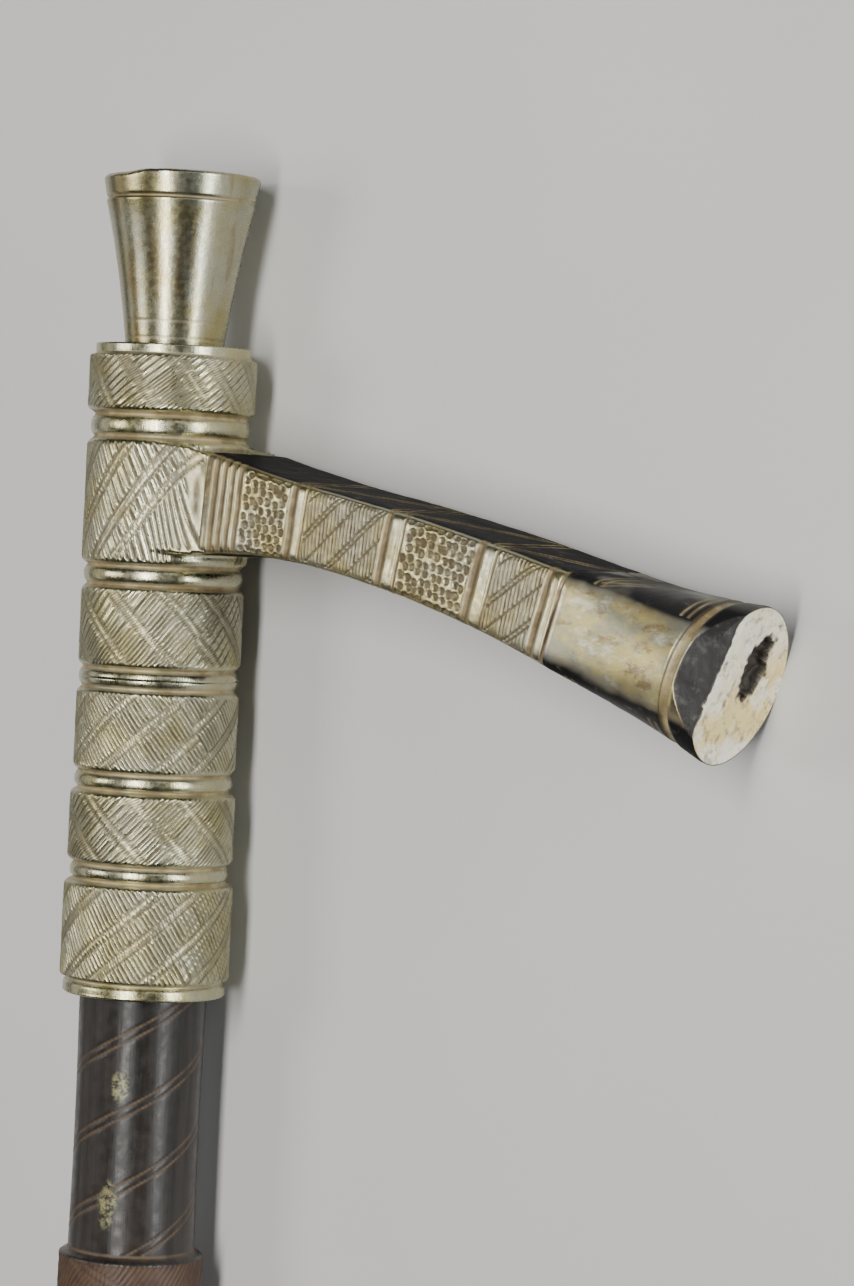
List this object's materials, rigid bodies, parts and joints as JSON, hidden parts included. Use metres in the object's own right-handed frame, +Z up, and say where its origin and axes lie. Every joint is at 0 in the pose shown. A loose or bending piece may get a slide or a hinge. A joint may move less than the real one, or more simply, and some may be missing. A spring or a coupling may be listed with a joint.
{
  "type": "ceremonial mace",
  "caption": "Ceremonial mace lying down: silvery cast head with engraved bands, a flared finial and a side arm ending in a drum, socketed on a turned dark hardwood shaft.",
  "frame": {"origin": "middle of the footprint, on the surface that the mace lies on", "axes": "+Y along the shaft towards the finial, +X the way the side arm points, +Z up"},
  "size_m": [0.1496, 0.4446, 0.0313],
  "materials": {
    "cast_head": "polished and worn white metal, ochre residue in the engraving",
    "dark_hardwood": "polished dark hardwood, residue in the cut lines"
  },
  "bodies": {
    "root": {"mace_head": "cast_head", "shaft": "dark_hardwood"}
  },
  "joints": []
}
